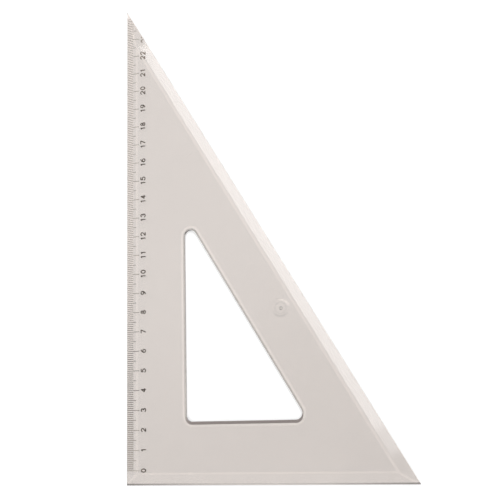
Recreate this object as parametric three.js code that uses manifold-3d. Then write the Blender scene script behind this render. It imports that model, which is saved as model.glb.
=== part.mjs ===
// Clear drafting triangle with corners of 30, 60 and 90 degrees: one moulded plate with bevelled
// edges, a window to lift it by, a centimetre scale down the long leg and, in its underside, the
// recessed mark of the gate.
//
// Millimetres, +Z up. The plate lies on its underside at z = 0, its long leg runs along Y on the
// -X side and its short leg along X on the -Y side. The origin is below the middle of the
// hypotenuse, which is also the middle of the plate's bounding box.

import * as THREE from 'three';
import { mergeGeometries, mergeVertices } from 'three/addons/utils/BufferGeometryUtils.js';
import Module from 'manifold-3d';

const wasm = await Module();
wasm.setup();

// Plate: the short leg follows from the long leg and the corner at its far end
const longLeg = 254;
const apexAngle = Math.PI / 6;
const thickness = 2.4;

// Edges: a flat upright land to draw along, and a slope from the land up to the face
const landHeight = 1;
const bevelWidth = 5.3;
const shoulderWidth = 1.8;
const edgeRadius = 0.25;

// Window: the plate that is left between it and each edge, and its rounded corners and rim
const longLimb = 31.8;
const shortLimb = 31.2;
const slantLimb = 30.5;
const windowCornerRadius = 3.2;
const windowRimRadius = 0.4;
const windowFootBreak = 0.2;

// Scale: one engraved line for each millimetre, longer at each five and at each ten
const zeroFromShortLeg = 7.3;
const linePitch = 1;
const linesPerHalf = 5;
const linesPerWhole = 10;
const lineLength = 3.9;
const halfLineLength = 5.5;
const wholeLineLength = 7.2;
const lineWidth = 0.28;
const lineDepth = 0.12;
const lineEdgeGap = 0.35;
const shortestLine = 1.5;

// Gate mark in the underside: a shallow recess, a deeper one inside it, both with sloping walls, and
// in the middle the trimmed stub of the gate, which stops short of the underside
const gateFromShortLeg = 86.4;
const gateFromLongLeg = 81.6;
const gateRadius = 4.9;
const gateDepth = 0.12;
const gateWallWidth = 0.8;
const gateInnerRadius = 2.9;
const gateInnerDepth = 0.32;
const gateInnerWallWidth = 0.6;
const gateStubRadius = 0.7;
const gateStubTaper = 0.25;
const gateStubGap = 0.08;

// Cutters reach this far past the faces that they break through
const overrun = 1;

// How finely the round parts are faceted
const shoulderSteps = 8;
const edgeSteps = 2;
const rimSteps = 4;
const cornerSteps = 12;
const gateSteps = 48;

const clearPlastic = new THREE.MeshStandardMaterial({
  color: 0xdbd4ce,
  roughness: 0.12,
  metalness: 0,
  transparent: true,
  opacity: 0.45,
});

// Closed solids

// The closed mesh of a geometry, with the vertices that its triangles share merged.
function toSolid(geometry) {
  const bare = geometry.clone();
  bare.deleteAttribute('normal');
  bare.deleteAttribute('uv');
  const merged = mergeVertices(bare);
  return new wasm.Manifold(
    new wasm.Mesh({
      numProp: 3,
      vertProperties: new Float32Array(merged.attributes.position.array),
      triVerts: new Uint32Array(merged.index.array),
    }),
  );
}

// The flat-shaded geometry of a solid.
function toGeometry(solid) {
  const { vertProperties, triVerts } = solid.getMesh();
  const indexed = new THREE.BufferGeometry();
  indexed.setAttribute('position', new THREE.BufferAttribute(vertProperties, 3));
  indexed.setIndex(new THREE.BufferAttribute(triVerts, 1));
  const flat = indexed.toNonIndexed();
  flat.computeVertexNormals();
  return flat;
}

// A closed skin over level outlines that lie above each other. Each outline is convex, runs
// anticlockwise and has as many points as the others; a fan of triangles closes each end.
function skin(levels) {
  const count = levels[0].points.length;
  const positions = levels.flatMap(({ points, z }) => points.flatMap((p) => [p.x, p.y, z]));
  const index = [];
  for (let level = 0; level + 1 < levels.length; level += 1) {
    for (let i = 0; i < count; i += 1) {
      const a = level * count + i;
      const b = level * count + ((i + 1) % count);
      index.push(a, b, b + count, a, b + count, a + count);
    }
  }
  const top = (levels.length - 1) * count;
  for (let i = 1; i + 1 < count; i += 1) {
    index.push(0, i + 1, i);
    index.push(top, top + i, top + i + 1);
  }
  const geometry = new THREE.BufferGeometry();
  geometry.setAttribute('position', new THREE.Float32BufferAttribute(positions, 3));
  geometry.setIndex(index);
  return geometry;
}

// Outlines

const shortLeg = longLeg * Math.tan(apexAngle);
const square = new THREE.Vector2(-shortLeg / 2, -longLeg / 2);
const foot = new THREE.Vector2(shortLeg / 2, -longLeg / 2);
const apex = new THREE.Vector2(-shortLeg / 2, longLeg / 2);
const outerCorners = [square, foot, apex];

// The unit normal of the side from one corner to the next, pointing out of the triangle.
function outwardNormal(from, to) {
  const along = to.clone().sub(from).normalize();
  return new THREE.Vector2(along.y, -along.x);
}

// The corners of a triangle after each side has moved inward by its own distance. Side i runs
// from corner i to the next one, and the new corner is where its two moved sides cross.
function movedInward(corners, distances) {
  return corners.map((corner, i) => {
    const before = (i + 2) % 3;
    const normalBefore = outwardNormal(corners[before], corner);
    const normalAfter = outwardNormal(corner, corners[(i + 1) % 3]);
    const cross = normalBefore.cross(normalAfter);
    const x = distances[i] * normalBefore.y - distances[before] * normalAfter.y;
    const y = distances[before] * normalAfter.x - distances[i] * normalBefore.x;
    return new THREE.Vector2(corner.x + x / cross, corner.y + y / cross);
  });
}

// The outline at one distance outside a triangle: straight sides and an arc round each corner.
function roundedOutline(corners, radius) {
  return corners.flatMap((corner, i) => {
    const start = outwardNormal(corners[(i + 2) % 3], corner).angle();
    let end = outwardNormal(corner, corners[(i + 1) % 3]).angle();
    if (end < start) end += 2 * Math.PI;
    return Array.from({ length: cornerSteps + 1 }, (_, step) => {
      const angle = start + ((end - start) * step) / cornerSteps;
      return new THREE.Vector2(radius * Math.cos(angle), radius * Math.sin(angle)).add(corner);
    });
  });
}

// Plate with bevelled edges

const bevelSlope = (thickness - landHeight) / bevelWidth;

// Profile of an edge from the underside up to the face, as distances in from the edge and heights:
// a rounded foot, the upright land, a rounded brow, the bevel, and a shoulder that bends from the
// bevel's slope to level. The shoulder is a parabola, tangent to both.
function edgeProfile() {
  const profile = [];
  for (let step = 0; step <= edgeSteps; step += 1) {
    const angle = ((Math.PI / 2) * step) / edgeSteps;
    profile.push({
      inset: edgeRadius * (1 - Math.sin(angle)),
      z: edgeRadius * (1 - Math.cos(angle)),
    });
  }
  const bevelAngle = Math.atan(bevelSlope);
  const browAngle = Math.PI / 2 - bevelAngle;
  const browCentre = landHeight + edgeRadius * bevelSlope - edgeRadius / Math.cos(bevelAngle);
  for (let step = 0; step <= edgeSteps; step += 1) {
    const angle = (browAngle * step) / edgeSteps;
    profile.push({
      inset: edgeRadius * (1 - Math.cos(angle)),
      z: browCentre + edgeRadius * Math.sin(angle),
    });
  }
  for (let step = 0; step <= shoulderSteps; step += 1) {
    const share = step / shoulderSteps;
    const left = 1 - share;
    profile.push({
      inset: bevelWidth + shoulderWidth * (share - 1 / 2),
      z: thickness - (bevelSlope * shoulderWidth * left * left) / 2,
    });
  }
  return profile;
}

// The plate without its window, marks or lines: its outline, moved inward along the edge profile,
// so that neighbouring bevels meet in a mitre at each corner.
function plateBlank() {
  return skin(
    edgeProfile().map(({ inset, z }) => ({
      points: movedInward(outerCorners, [inset, inset, inset]),
      z,
    })),
  );
}

// Window

// What the window takes out: an upright wall with rounded corners, a rim rounded over at the face
// and a small break at the underside.
function windowCutter() {
  const corners = movedInward(outerCorners, [shortLimb, slantLimb, longLimb]);
  const cornerCentres = movedInward(corners, Array(3).fill(windowCornerRadius));
  const profile = [
    { widening: windowFootBreak, z: -overrun },
    { widening: windowFootBreak, z: 0 },
    { widening: 0, z: windowFootBreak },
  ];
  for (let step = 0; step <= rimSteps; step += 1) {
    const angle = ((Math.PI / 2) * step) / rimSteps;
    profile.push({
      widening: windowRimRadius * (1 - Math.cos(angle)),
      z: thickness - windowRimRadius * (1 - Math.sin(angle)),
    });
  }
  profile.push({ widening: windowRimRadius, z: thickness + overrun });
  return skin(
    profile.map(({ widening, z }) => ({
      points: roundedOutline(cornerCentres, windowCornerRadius + widening),
      z,
    })),
  );
}

// Gate mark

// What the gate mark takes out of the underside, turned about the gate's axis: two steps up with
// sloping walls, and the stub left hanging in the middle.
function gateCutter() {
  const profile = [
    [0, -overrun],
    [gateRadius, -overrun],
    [gateRadius, 0],
    [gateRadius - gateWallWidth, gateDepth],
    [gateInnerRadius, gateDepth],
    [gateInnerRadius - gateInnerWallWidth, gateInnerDepth],
    [gateStubRadius + gateStubTaper, gateInnerDepth],
    [gateStubRadius, gateStubGap],
    [0, gateStubGap],
  ];
  const points = profile.map(([radius, height]) => new THREE.Vector2(radius, height));
  const cutter = new THREE.LatheGeometry(points, gateSteps);
  cutter.rotateX(Math.PI / 2);
  cutter.translate(square.x + gateFromLongLeg, square.y + gateFromShortLeg, 0);
  return cutter;
}

// Scale

// How long the line at one count is: whole centimetres are the longest, then the halves.
function lengthOfLine(count) {
  if (count % linesPerWhole === 0) return wholeLineLength;
  return count % linesPerHalf === 0 ? halfLineLength : lineLength;
}

// Upright blades where the lines of the scale go, from zero to where the plate's tip gets too
// narrow for one. Near the tip a line stops short of the hypotenuse.
function lineBlades() {
  const bladeHeight = thickness + overrun;
  const blades = [];
  for (let count = 0; ; count += 1) {
    const fromShortLeg = zeroFromShortLeg + count * linePitch;
    const plateWidth = (longLeg - fromShortLeg) * Math.tan(apexAngle);
    const room = plateWidth - lineEdgeGap;
    if (room < lineEdgeGap + shortestLine) return blades;
    const end = Math.min(lengthOfLine(count), room);
    const blade = new THREE.BoxGeometry(end - lineEdgeGap, lineWidth, bladeHeight);
    blade.translate((lineEdgeGap + end) / 2, fromShortLeg, bladeHeight / 2);
    blade.translate(square.x, square.y, 0);
    blades.push(blade);
  }
}

// Assembly

const blank = plateBlank();
const lowered = blank.clone().translate(0, 0, -lineDepth);
const lineCutter = toSolid(mergeGeometries(lineBlades())).subtract(toSolid(lowered));
const plateSolid = toSolid(blank)
  .subtract(toSolid(windowCutter()))
  .subtract(toSolid(gateCutter()))
  .subtract(lineCutter);

const plate = new THREE.Mesh(toGeometry(plateSolid), clearPlastic);
plate.name = 'plate';

const triangle = new THREE.Group();
triangle.add(plate);

export default triangle;
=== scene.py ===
# %% [markdown]
# A clear drafting triangle
#
# The real object is one plate of clear plastic, moulded in one shot: three bevelled edges to draw
# along, a window to lift it by, an engraved centimetre scale, and in the underside the round mark
# where the plastic was let into the mould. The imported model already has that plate, so this file
# gives it its plastic, fills the scale with ink, prints the figures and lights the whole.
#
# Everything is in metres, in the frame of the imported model: +Z up, the long leg along Y on the -X
# side, the origin below the middle of the hypotenuse.

# %% Load the frame
import math

import bpy
import numpy as np
from mathutils import Matrix, Vector


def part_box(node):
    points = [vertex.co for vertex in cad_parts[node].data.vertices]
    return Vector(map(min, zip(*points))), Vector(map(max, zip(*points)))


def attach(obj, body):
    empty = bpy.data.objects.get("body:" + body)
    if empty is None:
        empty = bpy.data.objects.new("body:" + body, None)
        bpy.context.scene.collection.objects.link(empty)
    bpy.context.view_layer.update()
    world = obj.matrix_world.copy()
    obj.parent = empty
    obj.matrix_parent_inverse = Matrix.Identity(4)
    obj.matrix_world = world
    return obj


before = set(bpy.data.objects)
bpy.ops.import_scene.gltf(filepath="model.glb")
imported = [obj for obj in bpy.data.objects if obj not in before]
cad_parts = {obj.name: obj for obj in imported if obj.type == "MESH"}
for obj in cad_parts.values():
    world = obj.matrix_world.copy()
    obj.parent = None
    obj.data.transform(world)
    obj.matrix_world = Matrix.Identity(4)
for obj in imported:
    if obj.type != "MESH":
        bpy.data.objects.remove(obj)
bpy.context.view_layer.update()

MM = 0.001
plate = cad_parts["plate"]
print("nodes:", sorted(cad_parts), "triangles:", len(plate.data.polygons))

# %% [markdown]
# The outline
#
# The plate's box gives its two legs and its thickness, so they are read from the frame and not
# typed. Its three sides run anticlockwise from corner to corner. How far a point lies in from a
# side is the one measure that nearly everything else needs: the bevel's height, where the ink may
# go and, much later, where the plastic looks darker. It could be measured on the mesh, but a
# formula is exact, and the same formula works on one number, on an array and on a shader's sockets.

# %% The outline
low, high = (np.array(corner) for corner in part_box("plate"))
long_leg = high[1] - low[1]
short_leg = high[0] - low[0]
thickness = high[2] - low[2]
square_corner = np.array([low[0], low[1]])
foot_corner = np.array([high[0], low[1]])
apex_corner = np.array([low[0], high[1]])
sides = [(square_corner, foot_corner), (foot_corner, apex_corner), (apex_corner, square_corner)]


def distance_in(x, y, start, end):
    """How far points lie inside the side from start to end: the cross product of the side's
    direction with the way from its start to the point."""
    along = (end - start) / np.linalg.norm(end - start)
    return along[0] * (y - start[1]) - along[1] * (x - start[0])


print("legs:", round(long_leg, 4), round(short_leg, 4), "thickness:", round(thickness, 4))
print("in from the hypotenuse at the origin:", round(distance_in(0, 0, *sides[1]), 6))

# %% [markdown]
# The height of the face
#
# Ink lies on the plate's upper side, so each stroke needs to know how high that side is. It
# depends only on the distance in from the nearest edge: a slope near the edge, then a shoulder that
# bends to level, then the flat face. A ray cast onto the mesh would find it too, point by point,
# but a parabola joins the slope and the level without a kink and gives the whole array at once.

# %% The height of the face
land_height = 1.0 * MM
bevel_width = 5.3 * MM
shoulder_width = 1.8 * MM
bevel_slope = (thickness - land_height) / bevel_width


def face_height(x, y):
    """The height of the upper side. With d the distance in from the nearest edge: the land's
    height plus slope times d on the bevel, and on the shoulder the thickness less half the slope
    times the shoulder's width times the square of the share of the shoulder that is left."""
    d = np.minimum.reduce([distance_in(x, y, start, end) for start, end in sides])
    left = np.clip((bevel_width + shoulder_width / 2 - d) / shoulder_width, 0, 1)
    shoulder = thickness - bevel_slope * shoulder_width * left**2 / 2
    return np.where(d < bevel_width - shoulder_width / 2, land_height + bevel_slope * d, shoulder)


for inset in (0.5 * MM, bevel_width, 12 * MM):
    print("in by", round(inset, 4), "height", round(float(face_height(low[0] + inset, 0.0)), 5))

# %% [markdown]
# Strips of ink
#
# The lines of the scale and the figures are all thin strips of ink, so one function makes them: it
# carries a flat four-cornered section along a path on the face. A curve with a bevel could do the
# same, but it wouldn't know the face's height. Here that height is a function, so a strip follows
# the bevel, the shoulder and the mitre by itself.

# %% A strip of ink along a path
section_corners = 4


def mesh_object(name, vertices, faces):
    """A mesh object with its place in its mesh, from arrays of vertices and faces."""
    mesh = bpy.data.meshes.new(name)
    mesh.from_pydata(vertices.tolist(), [], faces.tolist())
    mesh.validate()
    made = bpy.data.objects.new(name, mesh)
    bpy.context.scene.collection.objects.link(made)
    return made


def strip(path, half_widths, bottom, top, closed=False):
    """Vertices and quads of one strip of ink. At each point of the path the section has four
    corners: half a width to the left and right of the path, at the face's height plus bottom and
    plus top. Quads join each section to the next, and close the ends of an open strip."""
    if closed:
        along = np.roll(path, -1, axis=0) - np.roll(path, 1, axis=0)
    else:
        along = np.gradient(path, axis=0)
    along = along / np.linalg.norm(along, axis=1, keepdims=True)
    across = np.stack([-along[:, 1], along[:, 0]], axis=1) * half_widths[:, None]
    left, right = path + across, path - across
    plan = np.stack([right, left, left, right], axis=1)
    z = face_height(plan[..., 0], plan[..., 1]) + np.array([bottom, bottom, top, top])
    vertices = np.concatenate([plan, z[..., None]], axis=2).reshape(-1, 3)
    count = len(path)
    rings = np.arange(count) if closed else np.arange(count - 1)
    corner = np.arange(section_corners)
    here = rings[:, None] * section_corners
    there = (rings[:, None] + 1) % count * section_corners
    around = (corner + 1) % section_corners
    quads = np.stack([here + corner, here + around, there + around, there + corner], axis=2)
    quads = quads.reshape(-1, section_corners)
    if not closed:
        ends = np.array([corner[::-1], corner + (count - 1) * section_corners])
        quads = np.concatenate([quads, ends])
    return vertices, quads


def joined(strips):
    """One list of vertices and one of quads from several strips, each strip's quads moved on by
    the number of vertices before it."""
    starts = np.cumsum([0] + [len(vertices) for vertices, _ in strips[:-1]])
    vertices = np.concatenate([vertices for vertices, _ in strips])
    quads = np.concatenate([quads + start for (_, quads), start in zip(strips, starts)])
    return vertices, quads


# %% [markdown]
# Ink in the engraved lines
#
# The scale is engraved, and ink is wiped into its grooves. The ink has the groove's shape: a narrow
# bar that stops just below the face. The grooves are in the plate, so the bars use the same counts
# and lengths, less a small clearance. A stripe in the colour of the plastic would need no bars, but
# clear plastic lets light through whatever its colour is, and ink stops it.

# %% Lines of the scale
zero_from_short_leg = 7.3 * MM
line_pitch = 1.0 * MM
lines_per_half, lines_per_whole = 5, 10
line_length, half_line_length, whole_line_length = 3.9 * MM, 5.5 * MM, 7.2 * MM
line_width = 0.28 * MM
line_depth = 0.12 * MM
line_edge_gap = 0.35 * MM
shortest_line = 1.5 * MM
ink_clearance = 0.01 * MM
ink_below_face = 0.02 * MM
line_step = 0.25 * MM


def length_of_line(count):
    """Whole centimetres are the longest, then the halves."""
    if count % lines_per_whole == 0:
        return whole_line_length
    return half_line_length if count % lines_per_half == 0 else line_length


lines = []
for count in range(int(long_leg / line_pitch)):
    from_short_leg = zero_from_short_leg + count * line_pitch
    plate_width = (long_leg - from_short_leg) * short_leg / long_leg
    room = plate_width - line_edge_gap
    if room < line_edge_gap + shortest_line:
        break
    start = line_edge_gap + ink_clearance
    end = min(length_of_line(count), room) - ink_clearance
    x = low[0] + np.linspace(start, end, math.ceil((end - start) / line_step) + 1)
    path = np.stack([x, np.full_like(x, low[1] + from_short_leg)], axis=1)
    half_widths = np.full(len(path), line_width / 2 - ink_clearance)
    lines.append(strip(path, half_widths, ink_clearance - line_depth, -ink_below_face))
scale_lines = mesh_object("scale_lines", *joined(lines))
print("scale lines:", len(lines), "faces:", len(scale_lines.data.polygons))

# %% [markdown]
# The shapes of the figures
#
# The figures are plain and round, like those of a drawing stencil. A Text object would bring its
# own letterforms, and a flat one wouldn't bend over the bevel. So each figure is a few strokes of a
# round pen, straight or along an ellipse, in a box one unit high, and every stroke keeps half a pen
# clear of the box. The figure one has a narrower box than the others, as printed figures do.

# %% Strokes of the ten figures
pen_share = 0.178
wide_share, narrow_share = 0.71, 0.38
arc_steps_per_turn, least_arc_steps = 40, 3
near, far = pen_share / 2, wide_share - pen_share / 2
foot, head = pen_share / 2, 1 - pen_share / 2
middle = wide_share / 2


def arc(centre, radii, start, end):
    """Points on an ellipse: the centre plus the radii times the cosine and sine of an angle that
    runs from start to end, in degrees."""
    steps = max(least_arc_steps, round(abs(end - start) / 360 * arc_steps_per_turn))
    angle = np.radians(np.linspace(start, end, steps + 1))
    return np.array(centre) + np.array(radii) * np.stack([np.cos(angle), np.sin(angle)], axis=1)


def straight(*corners):
    """The corners of a stroke that runs straight from each to the next."""
    return np.array(corners, float)


def loop(centre, radii):
    """A whole ellipse, without its last point, which is its first one again."""
    return arc(centre, radii, 90, 450)[:-1]


def then(*stretches):
    """One stroke from several stretches, end to end."""
    return np.concatenate(stretches)


bowl, hook, round_back = 0.33, 0.66, 0.6
upper, lower, lower_loop, belly = 0.71, 0.29, 0.285, 0.36
two = then(
    arc((middle, hook), (middle - near, head - hook), 165, -38),
    straight((near, foot), (far, foot)),
)
three = then(
    arc((bowl, upper), (0.22, head - upper), 155, -75),
    arc((bowl, lower), (far - bowl, lower - foot), 75, -155),
)
four = straight((0.47, foot), (0.47, head), (near, 0.3), (far, 0.3))
five = then(
    straight((0.57, head), (0.15, head), (0.11, 0.54)),
    arc((bowl, belly), (far - bowl, belly - foot), 130, -150),
)
six = arc((round_back, 1 - hook), (round_back - near, head - 1 + hook), 98, 180)
nine = arc((wide_share - round_back, hook), (round_back - near, hook - foot), -82, 0)
eight = [
    loop((middle, upper), (0.2, head - upper)),
    loop((middle, lower_loop), (0.26, lower_loop - foot)),
]

# Open strokes first, then loops
figure_shares = {
    "0": ([], [loop((middle, 0.5), (middle - near, 0.5 - foot))]),
    "1": ([straight((near, 0.74), (0.26, head), (0.26, foot))], []),
    "2": ([two], []),
    "3": ([three], []),
    "4": ([four], []),
    "5": ([five], []),
    "6": ([six], [loop((middle, 1 - hook), (middle - near, 1 - hook - foot))]),
    "7": ([straight((near, head), (far, head), (0.24, foot))], []),
    "8": ([], eight),
    "9": ([nine], [loop((middle, hook), (middle - near, head - hook))]),
}
print("strokes:", sum(len(open_ones) + len(loops) for open_ones, loops in figure_shares.values()))

# %% [markdown]
# Pen strokes
#
# A stroke is resampled so that its points lie a short step apart, because a strip can only follow
# the face where it has points. At each end the strip narrows in a quarter circle on both sides,
# which gives it the round end of a pen. Where the hypotenuse cuts a figure off, as it does with the
# last one, only the stretch that is on the plate is drawn.

# %% Pen strokes on the plate
figure_top = 8.0 * MM
figure_height = 2.85 * MM
figure_shift = 0.12 * MM
bearing_share, bearing_share_of_one = 0.095, 0.2
pen_width = pen_share * figure_height
pen_step = 0.12 * MM
cap_steps = 4
figure_edge_gap = 0.3 * MM
ink_foot = 0.002 * MM
ink_thickness = 0.01 * MM


def evenly(points, closed):
    """The same stroke with points a pen step apart: each coordinate is read off against the length
    along the stroke. An open stroke keeps its corners."""
    if closed:
        points = np.concatenate([points, points[:1]])
    steps = np.linalg.norm(np.diff(points, axis=0), axis=1)
    length = np.concatenate([[0], np.cumsum(steps)])
    at = np.linspace(0, length[-1], math.ceil(length[-1] / pen_step) + 1)
    at = at[:-1] if closed else np.union1d(at, length)
    return np.stack([np.interp(at, length, points[:, axis]) for axis in (0, 1)], axis=1)


def round_ended(path):
    """The path made longer by half a pen at each end, and its half widths: along a cap they are
    half the pen times the cosine of the angle whose sine carries the cap on."""
    angle = np.linspace(0, math.pi / 2, cap_steps + 1)[1:, None]
    reach = np.sin(angle) * pen_width / 2
    width = np.cos(angle[:, 0]) * pen_width / 2
    before = (path[0] - path[1]) / np.linalg.norm(path[0] - path[1])
    after = (path[-1] - path[-2]) / np.linalg.norm(path[-1] - path[-2])
    longer = np.concatenate([path[0] + (reach * before)[::-1], path, path[-1] + reach * after])
    return longer, np.concatenate([width[::-1], np.full(len(path), pen_width / 2), width])


def runs_inside(path):
    """The stretches of a path that lie far enough inside the plate to take the pen."""
    d = np.minimum.reduce([distance_in(path[:, 0], path[:, 1], *side) for side in sides])
    inside = d > figure_edge_gap + pen_width / 2
    cuts = np.flatnonzero(np.diff(inside)) + 1
    runs = zip(np.split(path, cuts), np.split(inside, cuts))
    return [run for run, kept in runs if kept[0] and len(run) > 2]


def pen_strokes(points, closed):
    """The strips of one stroke: a whole loop as it is, and anything else with round ends."""
    path = evenly(points, closed)
    runs = runs_inside(path)
    if closed and runs and len(runs[0]) == len(path):
        return [strip(path, np.full(len(path), pen_width / 2), ink_foot, ink_thickness, closed=True)]
    return [strip(*round_ended(run), ink_foot, ink_thickness) for run in runs]


figure_foot = figure_top + figure_height
print("pen:", round(pen_width, 5), "figures from", figure_top, "to", round(figure_foot, 5))

# %% [markdown]
# Figures along the scale
#
# There is a number at each whole centimetre, centred on its line, and the numbers read upward: the
# top of a figure points to the long leg and its right to the tip. The loop goes on until a number
# has no room left inside the plate.

# %% Figures along the scale
def shares_across(figure):
    """How wide a figure is and the room on each side of it, as shares of its height."""
    return (narrow_share, bearing_share_of_one) if figure == "1" else (wide_share, bearing_share)


def advance(figure):
    """How far the next figure starts from this one: its width and the room on both its sides."""
    width, bearing = shares_across(figure)
    return (width + 2 * bearing) * figure_height


def on_plate(shares, start_y):
    """Places a stroke: up in the figure is -X on the plate, and right in the figure is +Y."""
    x = low[0] + figure_top + figure_height * (1 - shares[:, 1])
    y = start_y + figure_height * shares[:, 0]
    return np.stack([x, y], axis=1)


figures = []
whole_pitch = lines_per_whole * line_pitch
numbers = int((long_leg - zero_from_short_leg) / whole_pitch)
for number in range(numbers):
    text = str(number)
    start_y = low[1] + zero_from_short_leg + number * whole_pitch + figure_shift
    start_y -= sum(advance(figure) for figure in text) / 2
    for figure in text:
        open_strokes, loops = figure_shares[figure]
        inked_y = start_y + shares_across(figure)[1] * figure_height
        for shares in open_strokes:
            figures += pen_strokes(on_plate(shares, inked_y), False)
        for shares in loops:
            figures += pen_strokes(on_plate(shares, inked_y), True)
        start_y += advance(figure)
scale_figures = mesh_object("scale_figures", *joined(figures))
for piece in (scale_lines, scale_figures):
    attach(piece, "root")
print("numbers: 0 to", numbers - 1, "strokes:", len(figures), "faces:", len(scale_figures.data.polygons))

# %% [markdown]
# Writing materials
#
# A material is a graph of nodes. Node by node it gets long, so a small class wraps a socket and lets
# sums and products be written as in plain Python, also with a number on the left. One more method
# makes every other node: its settings are set first, then its inputs get values or links.
# Coordinates, noise and mixes of colours come often enough to have short forms of their own.

# %% A small language for materials
class Shade:
    """An output socket of a graph. Sums with numbers or other shades add Math nodes."""

    __array_ufunc__ = None  # numpy's numbers leave a sum with a shade to the shade

    def __init__(self, graph, socket):
        self.graph, self.socket = graph, socket

    def math(self, operation, *values):
        return self.graph.node("Math", {"operation": operation}, dict(enumerate(values)))

    def __add__(self, other):
        return self.math("ADD", self, other)

    __radd__ = __add__

    def __sub__(self, other):
        return self.math("SUBTRACT", self, other)

    def __rsub__(self, other):
        return self.math("SUBTRACT", other, self)

    def __mul__(self, other):
        return self.math("MULTIPLY", self, other)

    __rmul__ = __mul__

    def least(self, other):
        return self.math("MINIMUM", self, other)

    def greatest(self, other):
        return self.math("MAXIMUM", self, other)

    def root(self):
        return self.math("SQRT", self)

    def rise(self, start, end):
        """0 up to start, 1 from end on, and a smooth step between them."""
        limits = {"Value": self, "From Min": start, "From Max": end}
        return self.graph.node("MapRange", {"interpolation_type": "SMOOTHSTEP"}, limits)


class Graph:
    """The nodes of a material or a world, emptied, with one method that makes any node and three
    short forms of it."""

    def __init__(self, owner):
        owner.use_nodes = True
        self.tree = owner.node_tree
        self.tree.nodes.clear()

    def node(self, kind, settings=None, inputs=None, output=0):
        """A node of one kind. Its settings are set first, then each input, by name or number,
        takes a value or a link. Returns the shade of one of its outputs."""
        made = self.tree.nodes.new("ShaderNode" + kind)
        for name, value in (settings or {}).items():
            setattr(made, name, value)
        for key, value in (inputs or {}).items():
            if isinstance(value, Shade):
                self.tree.links.new(value.socket, made.inputs[key])
            else:
                made.inputs[key].default_value = value
        return Shade(self, made.outputs[output]) if made.outputs else None

    def x_and_y(self, place):
        """The first two coordinates of a place or a direction."""
        return [self.node("SeparateXYZ", {}, {"Vector": place}, axis) for axis in ("X", "Y")]

    def noise(self, place, scale, detail):
        """Soft random grey from 0 to 1: scale is how many blobs there are to a metre, and detail
        how many finer layers lie on them."""
        return self.node("TexNoise", {}, {"Vector": place, "Scale": scale, "Detail": detail})

    def mix(self, share, first, second):
        """A colour that goes from the first to the second as the share goes from 0 to 1."""
        return self.node("Mix", {"data_type": "RGBA"}, {0: share, 6: first, 7: second}, output=2)


def material(name):
    """A new material and its graph."""
    made = bpy.data.materials.new(name)
    return made, Graph(made)


sample, sample_graph = material("sample")
result = 1 - 0.5 * sample_graph.node("TexNoise")
last_operation = result.socket.node.operation
print("1 - 0.5 * noise makes", len(sample_graph.tree.nodes), "nodes, the last to", last_operation)
bpy.data.materials.remove(sample)

# %% [markdown]
# The window's outline
#
# The plastic will need to know how far a point is from the window, as it does for the sides. The
# window is a triangle of corner centres with a radius round it. The distance from it is the
# distance from the nearest of three segments, less the radius, and it needs no case for the
# corners. The three limbs beside the window are the plate's own sizes.

# %% The window's outline
long_limb, short_limb, slant_limb = 31.8 * MM, 31.2 * MM, 30.5 * MM
window_corner_radius = 3.2 * MM


def crossing(first, second):
    """Where two sides cross after each has moved in by its own distance: the two equations that say
    how far in the point lies from each side, solved together."""
    rows, levels = [], []
    for (start, end), inset in (first, second):
        along = (end - start) / np.linalg.norm(end - start)
        rows.append([-along[1], along[0]])
        levels.append(inset - along[1] * start[0] + along[0] * start[1])
    return np.linalg.solve(rows, levels)


window_insets = [limb + window_corner_radius for limb in (short_limb, slant_limb, long_limb)]
moved = list(zip(sides, window_insets))
window_centres = [crossing(moved[i - 1], moved[i]) for i in range(3)]


def window_distance(x, y):
    """How far shades of x and y lie outside the window. For each segment between two corner
    centres: the share of the segment that lies before the point, kept between 0 and 1, gives the
    nearest point on it, and the root of the summed squares gives the way there."""
    nearest = None
    for i in range(3):
        start, way = window_centres[i - 1], window_centres[i] - window_centres[i - 1]
        share = (x - start[0]) * (way[0] / (way @ way)) + (y - start[1]) * (way[1] / (way @ way))
        share = share.greatest(0.0).least(1.0)
        away_x = x - start[0] - share * way[0]
        away_y = y - start[1] - share * way[1]
        distance = (away_x * away_x + away_y * away_y).root()
        nearest = distance if nearest is None else nearest.least(distance)
    return nearest - window_corner_radius


print("window corner centres:", np.round(window_centres, 4).tolist())

# %% [markdown]
# Masks from distances
#
# Clear plastic is nearly invisible but for its edges, and what shows there are lines: dark ones
# where the wall of the window or the land of an edge is seen through the plate, pale ones where
# light is bent together. A path tracer finds such lines only with thousands of samples. Here the
# colour of the plastic carries them, as masks: numbers that are 1 on a line and fall softly to 0
# beside it. A Color Ramp could draw the step, but it would need its stops set anew for each line.
# One smooth step on a distance does it, from a side, from the window or from a point, and the lines
# stay where they are when the camera moves.

# %% Masks from distances
clear_plastic, graph = material("clear_plastic")
place = graph.node("TexCoord", output="Object")
across, along = graph.x_and_y(place)
foot_distance, slope_distance, leg_distance = (distance_in(across, along, *side) for side in sides)
line_softness = 0.12 * MM


def line_within(distance, width):
    """1 where a distance is below a width, and softly 0 beyond it."""
    return 1 - distance.rise(width - line_softness, width + line_softness)


def ring(distance, start, end, softness=line_softness):
    """1 between two distances, softly 0 on both sides."""
    inner = distance.rise(start - softness, start + softness)
    return inner * (1 - distance.rise(end - softness, end + softness))


print("a line fades over", round(2 * line_softness, 5), "m; nodes so far:", len(graph.tree.nodes))
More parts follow.
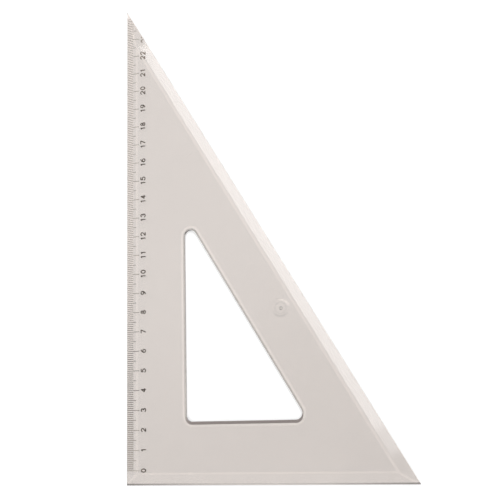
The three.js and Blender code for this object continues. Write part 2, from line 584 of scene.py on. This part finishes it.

# %% [markdown]
# Lines beside the window
#
# The wall of the window is upright. Where it turns away from the lamp, along the window's foot, a
# broad band of painted shadow lies beside it. Along the other two sides the painted shade is no
# more than a thin line, and a painted highlight follows the rim all round. A band on one side only
# comes from a small trick: the distance is taken from the window as if it had slid that way. On the
# long leg's side the wall itself is hard for a renderer, because light is trapped between it and
# the faces and comes out black. There it is made partly see-through, and keeps a warm, dark tint
# of painted shade. At the top corner the painted shade is darkest, so it gets a mask of its own,
# which grows along one direction from the corner's centre.

# %% Lines beside the window
rim_line_width, foot_line_width, slant_line_width = 0.7 * MM, 0.35 * MM, 0.1 * MM
foot_slide = np.array([0.0, 1.25]) * MM
slant_slide = np.array([-0.5, -0.866]) * MM
highlight_start, highlight_end = 0.7 * MM, 1.6 * MM
wall_line_width = 0.15 * MM
left_wall_x = low[0] + long_limb
left_wall_fade = 0.5 * MM
top_way = (0.4, 0.92)
top_fade = (1.0 * MM, 2.8 * MM)

# Masks for painted light round the window: a painted highlight along the rim, and painted shade along the
# slid outlines and at the top corner.
rim_distance = window_distance(across, along)
rim = rim_distance - rim_line_width
foot = window_distance(across + foot_slide[0], along + foot_slide[1]) - foot_line_width
slant = window_distance(across + slant_slide[0], along + slant_slide[1]) - slant_line_width
rim_painted_highlight = 1 - rim.least(foot).least(slant).rise(highlight_start, highlight_end)
on_the_left = 1 - across.rise(left_wall_x, left_wall_x + left_wall_fade)
left_wall = line_within(rim_distance, wall_line_width) * on_the_left
top_centre = max(window_centres, key=lambda centre: centre[1])
top_reach = (across - top_centre[0]) * top_way[0] + (along - top_centre[1]) * top_way[1]
top_corner_shade = line_within(rim, 0.0) * top_reach.rise(*top_fade)
print("the foot's band is", round(foot_slide[1] + foot_line_width, 5), "m wide")

# %% [markdown]
# Lines under the shoulders
#
# Where a bevel bends into the face, the shoulder gathers light into a pale line, and where two
# bevels meet there is another, the mitre. Both are painted highlights in the plastic's colour. The
# shoulder's line lies at one distance from the nearest side. The mitre is where the two nearest
# sides are equally far, so its distance is the second least less the least. With three numbers the
# second least needs no sorting: it is their sum without the least and without the greatest.

# %% Lines under the shoulders and along the mitres
shoulder_line_width, slope_line_width = 0.9 * MM, 1.3 * MM
shoulder_softness = 0.15 * MM
slope_line_shift = 0.5 * MM
mitre_width = 0.7 * MM

shoulder_start = bevel_width + shoulder_width / 2
inner_distance = slope_distance - slope_line_shift
edge_distance = foot_distance.least(leg_distance).least(inner_distance)
far_distance = foot_distance.greatest(leg_distance).greatest(inner_distance)
next_distance = foot_distance + leg_distance + inner_distance - edge_distance - far_distance
on_the_bevels = line_within(edge_distance, shoulder_start)
shoulder_line = ring(edge_distance, shoulder_start - shoulder_line_width, shoulder_start, shoulder_softness)
slope_line = ring(inner_distance, shoulder_start - slope_line_width, shoulder_start, shoulder_softness)
mitre_line = line_within(next_distance - edge_distance, mitre_width) * on_the_bevels
beside_the_slope = line_within(inner_distance - edge_distance, mitre_width)
face_highlights = shoulder_line.greatest(slope_line * beside_the_slope).greatest(mitre_line)
print("the shoulders' lines lie", round(shoulder_start - shoulder_line_width / 2, 5), "m in")

# %% [markdown]
# The gate mark
#
# The round mark is a shallow recess in the underside with a deeper one inside it, and the cut stub
# of the gate in the middle. Through clear plastic its sloping walls show as faint rings, brighter
# on one side and darker on the other, and the stub as a small dot. Here these are painted: the
# rings are painted highlight and painted shade, masks on the distance from the mark's centre, and
# the dot is painted shade. How far a point lies along one direction is a dot product, and with it
# each ring fades round the circle, so that it is an arc.

# %% The gate mark
gate_from_long_leg, gate_from_short_leg = 81.6 * MM, 86.4 * MM
gate_wall = (3.6 * MM, 4.6 * MM)
gate_inner_wall = (2.5 * MM, 3.2 * MM)
gate_outer_line = (4.8 * MM, 5.1 * MM)
gate_softness = 0.3 * MM
gate_dot_reach = (0.3 * MM, 1.0 * MM)
gate_lit_way, gate_shaded_way, gate_outer_way = (0.52, 0.85), (-0.1, -0.99), (-0.8, 0.6)
gate_lit_fade, gate_shaded_fade = (2.4 * MM, 4.0 * MM), (1.0 * MM, 3.5 * MM)
gate_outer_fade = (1.0 * MM, 4.0 * MM)

gate_centre = square_corner + np.array([gate_from_long_leg, gate_from_short_leg])
gate_x, gate_y = across - gate_centre[0], along - gate_centre[1]
gate_distance = (gate_x * gate_x + gate_y * gate_y).root()


def towards(way):
    """How far a point lies from the mark's centre, counted along one direction."""
    return gate_x * way[0] + gate_y * way[1]


# Painted highlight and painted shade on the gate mark's walls, and a painted dark dot for the stub:
gate_slope = ring(gate_distance, *gate_wall, gate_softness)
gate_highlight = gate_slope * towards(gate_lit_way).rise(*gate_lit_fade)
gate_shade = gate_slope * towards(gate_shaded_way).rise(*gate_shaded_fade)
gate_outer = ring(gate_distance, *gate_outer_line) * towards(gate_outer_way).rise(*gate_outer_fade)
gate_ring_shade = ring(gate_distance, *gate_inner_wall, gate_softness) + gate_outer
gate_dot_shade = 1 - gate_distance.rise(*gate_dot_reach)
print("gate mark at", np.round(gate_centre, 4).tolist())

# %% [markdown]
# Broad tones and marks of use
#
# Not all that shows is a line. The outer edge along the short leg is darker towards both its ends:
# a painted shadow whose depth is a parabola across the plate. In the strip of the scale, painted
# shade below the middle and by the zero stands in for the shadows of the lines of ink. Each line of
# ink also takes light from the clear plastic beside it, more than on the real plate, so that strip
# is made paler towards the tip. Years of handling leave a slow mottling and small specks, and the
# plastic is a little darker round the corner at the foot. Noise alone could stand for the mottling
# and the specks, but it has no place on the plate, and the strip's shade and the corner's tone have.

# %% Broad tones and marks of use
foot_line_reach, leg_line_reach = 0.9 * MM, 0.5 * MM
foot_shadow_middle, foot_shadow_ends = 0.15, 0.42
zero_y = low[1] + zero_from_short_leg
zero_end_from, zero_end_to = zero_y + 10 * MM, zero_y + 40 * MM
paler_from, paler_to = -110 * MM, -20 * MM
corner_fade_from, corner_fade_to = 15 * MM, 60 * MM
speck_step = (0.62, 0.72)

# Painted shadow along the outer edge of the short leg, deeper towards its ends:
sideways = across * (2 / short_leg)
foot_shadow_depth = foot_shadow_middle + foot_shadow_ends * sideways * sideways
foot_edge_shadow = line_within(foot_distance, foot_line_reach) * foot_shadow_depth
on_the_lines = line_within(leg_distance, line_length)
# Painted shade in the strip of the scale, below the middle and by the zero:
lines_shade_below_middle = on_the_lines * (1 - along.rise(zero_y, 0.0))
past_the_zero = along.rise(zero_y - line_softness, zero_y + line_softness)
lines_shade_by_zero = on_the_lines * past_the_zero * (1 - along.rise(zero_end_from, zero_end_to))
paler_strip = on_the_lines * along.rise(paler_from, paler_to)
# A darker tone round the corner at the foot:
corner_x, corner_y = across - foot_corner[0], along - foot_corner[1]
corner_distance = (corner_x * corner_x + corner_y * corner_y).root()
darker_round_corner = 1 - corner_distance.rise(corner_fade_from, corner_fade_to)
mottle = graph.noise(place, scale=140.0, detail=5.0) - 0.5
specks = graph.noise(place, scale=700.0, detail=2.0).rise(*speck_step)
print("the stain ends", round(zero_end_to - zero_y, 3), "m past the zero")

# %% [markdown]
# The colour of the plastic
#
# All lines and tones come together in one factor on the colour, and most of them are painted
# highlight and painted shade: each mask has a change, a share by which it makes the plastic lighter
# or darker, and the factors are multiplied, so their order doesn't matter. Mixing a new colour in for
# each mask would work too, but it takes a node and a colour for each, where a factor keeps the hue.
# Only the painted shadow at the window's foot and the painted shade on the wall on the left have
# hues of their own, and they are mixed in last.

# %% The colour of the plastic
changes = [
    # Painted highlight and painted shade along the window's rim, its slant side and its top corner:
    (rim_painted_highlight, 0.10),
    (line_within(rim, 0.0), -0.20),
    (line_within(slant, 0.0), -0.18),
    (top_corner_shade, -0.16),
    # Painted highlights under the shoulders and along the mitres:
    (face_highlights, 0.08),
    # Painted shadow along the outer edge of the short leg:
    (foot_edge_shadow, -1.0),
    # Painted highlight on the short leg's bevel, painted shade on the long leg's outer edge and a painted
    # highlight on the hypotenuse's edge:
    (line_within(foot_distance, bevel_width), 0.02),
    (line_within(leg_distance, leg_line_reach), -0.06),
    (line_within(slope_distance, leg_line_reach), 0.09),
    # Painted highlight and painted shade on the gate mark:
    (gate_highlight, 0.11),
    (gate_shade, -0.10),
    (gate_ring_shade, -0.06),
    (gate_dot_shade, -0.27),
    (mottle, 0.03),
    (specks, -0.03),
    # A darker tone round the foot corner, then painted shade in the strip of the scale and painted light
    # that makes it paler:
    (darker_round_corner, -0.025),
    (lines_shade_below_middle, -0.04),
    (lines_shade_by_zero, -0.09),
    (paler_strip, 0.115),
]
body_colour = (0.777, 0.728, 0.695)
# The next two colours are painted shade: the shadow band at the window's foot and the dark line of its left
# wall.
window_foot_shadow_colour = (0.345, 0.307, 0.29, 1.0)
left_wall_shade_colour = (0.42, 0.33, 0.27, 1.0)
shade = 1.0
for mask, change in changes:
    shade = shade * (1 + change * mask)
colour = graph.node("VectorMath", {"operation": "SCALE"}, {0: body_colour, "Scale": shade})
colour = graph.mix(line_within(foot, 0.0), colour, window_foot_shadow_colour)
colour = graph.mix(left_wall, colour, left_wall_shade_colour)
print("changes of the colour:", len(changes), "nodes so far:", len(graph.tree.nodes))

# %% [markdown]
# The surface of the plastic
#
# The plate is moulded acrylic: it bends light with an index of 1.49 and reflects a few hundredths
# of it. Glass made with Alpha alone would look like tinted film, so the Principled shader
# transmits, and a thin Volume Absorption adds a warm cast where light goes a long way inside. It
# transmits a little less than all: worn plastic scatters a share of the light, and without that
# share the bevels are black from low down, where a clean prism would only mirror the dark inside.
#
# The faces aren't perfect. They have the slow waves of a moulding, fine scratches from years on
# paper, all running much the same way, and the haze that hands leave. The waves go into Bump, the
# haze into Roughness, and the scratches into both.

# %% The surface of the plastic
clear_share, acrylic_ior = 0.88, 1.49
absorbed_colour, absorbed_density = (0.60, 0.50, 0.42, 1.0), 15.0
see_through_wall = 0.42
polished, hazy, scratchy = 0.02, 0.04, 0.1
scratch_turn, scratch_scale, scratch_step = 0.6, (2500, 40, 40), (0.66, 0.74)
bump_strength, wave_height, scratch_depth = 0.3, 0.05 * MM, 0.004 * MM

haze = graph.noise(place, scale=60.0, detail=3.0)
stretched = graph.node(
    "Mapping", {}, {"Vector": place, "Rotation": (0, 0, scratch_turn), "Scale": scratch_scale}
)
scratches = graph.noise(stretched, scale=1.0, detail=3.0).rise(*scratch_step)
waves = graph.noise(place, scale=30.0, detail=1.0)
waved = graph.node("Bump", {}, {"Strength": bump_strength, "Distance": wave_height, "Height": waves})
scratched = graph.node(
    "Bump",
    {},
    {
        "Strength": bump_strength,
        "Distance": scratch_depth,
        "Height": 1 - scratches,
        "Normal": waved,
    },
)
surface = graph.node(
    "BsdfPrincipled",
    {},
    {
        "Base Color": colour,
        "Roughness": polished + hazy * haze + scratchy * scratches,
        "Alpha": 1 - see_through_wall * left_wall,
        "Normal": scratched,
        "IOR": acrylic_ior,
        "Transmission Weight": clear_share,
    },
)
absorbed = graph.node("VolumeAbsorption", {}, {"Color": absorbed_colour, "Density": absorbed_density})
graph.node("OutputMaterial", {}, {"Surface": surface, "Volume": absorbed})
plate.data.materials.clear()
plate.data.materials.append(clear_plastic)
print("nodes in the plastic:", len(graph.tree.nodes))

# %% [markdown]
# Ink
#
# Printing ink is matt and nearly black, but never quite: it is thin, a little brown, and uneven
# where it dried. The ink is also paler towards the tip, the lines more than the figures, so a mask
# rises along the long leg. The first lines by the zero are paler too. Fresh ink with its own
# unevenness comes first, and then the paler tones are mixed over it, one for the lines and one for
# the figures. A single dark colour would make the whole scale equally dark.

# %% Ink
fresh_dark, fresh_light = (0.046, 0.026, 0.010, 1.0), (0.098, 0.065, 0.036, 1.0)
line_pale, figure_pale = (0.33, 0.265, 0.215, 1.0), (0.29, 0.235, 0.185, 1.0)
lines_paler_from, lines_paler_by = -80 * MM, 0.0
zero_end_paling = 0.95
figures_paler_from, most_figure_paling = 0.4 * high[1], 0.7
uneven_step = (0.45, 0.75)
ink_smooth, ink_rough = 0.4, 0.3

ink, graph = material("scale_ink")
place = graph.node("TexCoord", output="Object")
unevenness = graph.noise(place, scale=1500.0, detail=4.0)
sideways, upward = graph.x_and_y(place)
in_the_lines = 1 - (sideways - low[0]).rise(whole_line_length, figure_top)
# The ink is paler towards the tip and by the zero:
by_the_zero = zero_end_paling * (1 - upward.rise(zero_end_from, zero_end_to))
lines_paling = (upward.rise(lines_paler_from, lines_paler_by) + by_the_zero) * in_the_lines
figures_paling = upward.rise(figures_paler_from, high[1]) * (1 - in_the_lines) * most_figure_paling
colour = graph.mix(unevenness.rise(*uneven_step), fresh_dark, fresh_light)
colour = graph.mix(lines_paling, colour, line_pale)
colour = graph.mix(figures_paling, colour, figure_pale)
roughness = ink_smooth + ink_rough * unevenness
surface = graph.node("BsdfPrincipled", {}, {"Base Color": colour, "Roughness": roughness})
graph.node("OutputMaterial", {}, {"Surface": surface})
for piece in (scale_lines, scale_figures):
    piece.data.materials.append(ink)
print("nodes in the ink:", len(graph.tree.nodes))

# %% [markdown]
# The floor
#
# The plate lies on plain white. A floor that is only matt comes out grey, because it gets no more
# light than the lamps send, and brighter lamps would bleach the plastic. So the floor also glows a
# little, but only on rays that see it: from the camera, off a mirror or through the plastic. On
# rays that carry light on from a matt surface it doesn't glow, so it lights nothing. The shadow
# stays, because the matt part still takes it.

# %% The floor
def seen_directly(graph):
    """1 on rays from the camera, off a mirror or through the plastic, and 0 on rays that carry
    light on from a matt surface."""
    seen = 0.0
    for kind in ("Is Camera Ray", "Is Glossy Ray", "Is Transmission Ray"):
        seen = seen + graph.node("LightPath", output=kind)
    scattered = graph.node("LightPath", output="Diffuse Depth")
    return seen * (1 - scattered.least(1.0))


floor_size = 4.0
floor_gap = 0.05 * MM
floor_white_share, floor_glow = 0.9, 0.42
half = floor_size / 2
corners = np.array([[-1, -1, 0], [1, -1, 0], [1, 1, 0], [-1, 1, 0]]) * half - [0, 0, floor_gap]
floor = mesh_object("floor", corners, np.array([[0, 1, 2, 3]]))
floor_white, graph = material("floor_white")
matt = graph.node("BsdfDiffuse", {}, {"Color": (*[floor_white_share] * 3, 1.0)})
lit = graph.node("Emission", {}, {"Strength": floor_glow * seen_directly(graph)})
both = graph.node("AddShader", {}, {0: matt, 1: lit})
graph.node("OutputMaterial", {}, {"Surface": both})
floor.data.materials.append(floor_white)
print("floor:", floor_size, "m square")

# %% [markdown]
# The room
#
# A soft even light comes from all round, as from white walls: the world, at less than full
# strength, so that colours come out as written. Where the world is seen it is full white, by the
# same rays as on the floor. A polished face is a mirror too, and in a real room the wall behind the
# lamp is brighter than the one across from it. That is what makes the face a little darker towards
# the far corner, so for mirrored rays alone the world dims away from the lamp. A picture of a
# studio would do this as well, but a direction and one smooth step need no file.

# %% The room
world_strength = 0.72
dim_strength = 0.85
bright_way = np.array([-0.5, 0.85])
dim_until, bright_from = 0.05, 0.3

world = bpy.data.worlds.new("studio")
bpy.context.scene.world = world
graph = Graph(world)
eastward, northward = graph.x_and_y(graph.node("TexCoord", output="Generated"))
brightness = (eastward * bright_way[0] + northward * bright_way[1]).rise(dim_until, bright_from)
dim = dim_strength * graph.node("LightPath", output="Is Glossy Ray") * (1 - brightness)
strength = world_strength + (1 - world_strength) * seen_directly(graph) - dim
background = graph.node("Background", {}, {"Color": (1, 1, 1, 1), "Strength": strength})
graph.node("OutputWorld", {}, {"Surface": background})
print("world:", world_strength, "nodes:", len(graph.tree.nodes))

# %% [markdown]
# The lamp
#
# The pale band along the hypotenuse is a mirror image: the bevel tilts just enough to show a long
# lamp that the flat face doesn't. So the lamp's place isn't free. It lies where the line of sight
# goes after the bevel has reflected it, from near the tip to most of the way down, and it is as
# long and as wide as the band needs. One softbox does that, and it throws the soft shadow as well.
# The cloth of a softbox is dimmer at its end, which may be why the band fades out before the
# corner. An area lamp is even all over, so the weak end is a short lamp laid on to the long one.

# %% The lamp
def facing_the_origin(place, along):
    """The turn of a lamp that faces the origin from a place, with its length along a direction:
    back = place / |place|, side = along x back, and the length runs along back x side."""
    back = Vector(place).normalized()
    side = Vector(along).cross(back).normalized()
    return Matrix([side, back.cross(side), back]).transposed()


def softbox(name, place, turn, length, width, radiance):
    """A rectangle of light at a place, turned. To send the radiance out evenly it needs the power
    of pi times its area times the radiance."""
    lamp = bpy.data.lights.new(name, "AREA")
    lamp.shape = "RECTANGLE"
    lamp.size, lamp.size_y = width, length
    lamp.energy = radiance * math.pi * width * length
    made = bpy.data.objects.new(name, lamp)
    bpy.context.scene.collection.objects.link(made)
    made.matrix_world = Matrix.Translation(place) @ turn.to_4x4()
    return made


lamp_place, lamp_along = Vector((0.322, 0.607, 1.28)), (0.547, -0.746, 0.248)
lamp_width = 0.3
full_from, weak_from, weak_to = -0.4785, 0.4585, 0.5205
full_radiance, weak_radiance = 5.0, 2.75

lamp_turn = facing_the_origin(lamp_place, lamp_along)
stretches = [
    ("key", full_from, weak_from, full_radiance),
    ("key_end", weak_from, weak_to, weak_radiance),
]
for name, start, end, radiance in stretches:
    centre = lamp_place + lamp_turn.col[1] * (start + end) / 2
    lamp = softbox(name, centre, lamp_turn, end - start, lamp_width, radiance)
    print(name, round(lamp.data.energy, 2), "W")

# %% [markdown]
# The camera
#
# The viewpoint was worked out from the plate itself: the three corners, the sides and the lines of
# the scale have known places, and only one place, aim, roll and lens puts them all where they are
# seen. It is nearly above the plate and a little to the lower right. A Track To constraint could aim
# the camera, but the matrix of its three axes also takes the small roll.

# %% The camera
camera_place = Vector((94.104, -90.059, 454.437)) * MM
camera_aim = Vector((-7.073, -9.936, 0.0)) * MM
camera_roll = math.radians(-1.2656)
picture_pixels, focal_pixels = 500, 921.593
sensor_width = 36.0

forward = (camera_aim - camera_place).normalized()
right = forward.cross(Vector((0, 1, 0))).normalized()
up = right.cross(forward)
basis = Matrix([right, up, -forward]).transposed() @ Matrix.Rotation(camera_roll, 3, "Z")
camera_data = bpy.data.cameras.new("camera")
camera_data.sensor_width = sensor_width
camera_data.lens = focal_pixels / picture_pixels * sensor_width
camera = bpy.data.objects.new("camera", camera_data)
bpy.context.scene.collection.objects.link(camera)
camera.matrix_world = Matrix.Translation(camera_place) @ basis.to_4x4()
bpy.context.scene.camera = camera
camera_distance = (camera_aim - camera_place).length
print("lens:", round(camera_data.lens, 2), "mm, distance:", round(camera_distance, 3), "m")

# %% [markdown]
# Finish
#
# The Standard view keeps colours as they are written. Only the ink of the figures stands a hundredth
# of a millimetre proud of the face.

# %% Finish
bpy.context.scene.view_settings.view_transform = "Standard"
